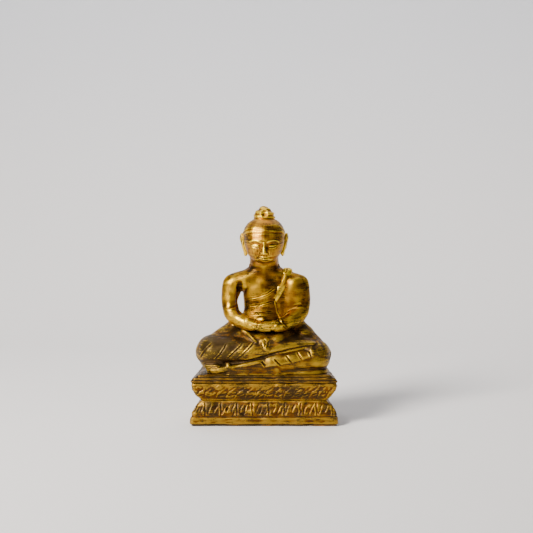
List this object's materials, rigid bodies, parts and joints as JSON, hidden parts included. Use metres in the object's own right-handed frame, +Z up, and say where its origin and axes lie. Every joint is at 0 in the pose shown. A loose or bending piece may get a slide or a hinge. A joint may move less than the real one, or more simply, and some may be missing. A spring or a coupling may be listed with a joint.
{
  "type": "seated buddha statue",
  "caption": "Seated meditating figure with folded hands on a stepped rectangular pedestal, carved in joined blocks and gilded.",
  "frame": {"origin": "centre of the underside of the bottom board", "axes": "+Z up, the figure faces -Y, +X to its left hand side (a viewer's right)"},
  "size_m": [0.082, 0.04, 0.12],
  "materials": {
    "gilding": "worn gold leaf over dark lacquer on carved wood, soft satin shine",
    "dark_gilding": "gold leaf rubbed thin over black lacquer, satin, dark in the cuts",
    "black_lacquer": "matte black lacquer on wood",
    "bare_wood": "unfinished wood, hidden inside the joints"
  },
  "bodies": {
    "root": {"bottom_board": "black_lacquer", "lower_plinth": "dark_gilding", "upper_plinth": "dark_gilding", "seat_slab": "dark_gilding", "crossed_legs": "gilding", "torso": "gilding", "head": "gilding", "topknot": "gilding", "shoulder_sash": "gilding", "right_hand": "gilding", "left_hand": "gilding", "right_upper_arm": "gilding", "left_upper_arm": "gilding", "right_forearm": "gilding", "left_forearm": "gilding", "right_ear": "gilding", "left_ear": "gilding", "right_plinth_dowel": "bare_wood", "left_plinth_dowel": "bare_wood", "right_seat_dowel": "bare_wood", "left_seat_dowel": "bare_wood", "right_waist_dowel": "bare_wood", "left_waist_dowel": "bare_wood", "right_shoulder_dowel": "bare_wood", "left_shoulder_dowel": "bare_wood", "right_elbow_dowel": "bare_wood", "left_elbow_dowel": "bare_wood", "topknot_peg": "bare_wood"}
  },
  "joints": []
}
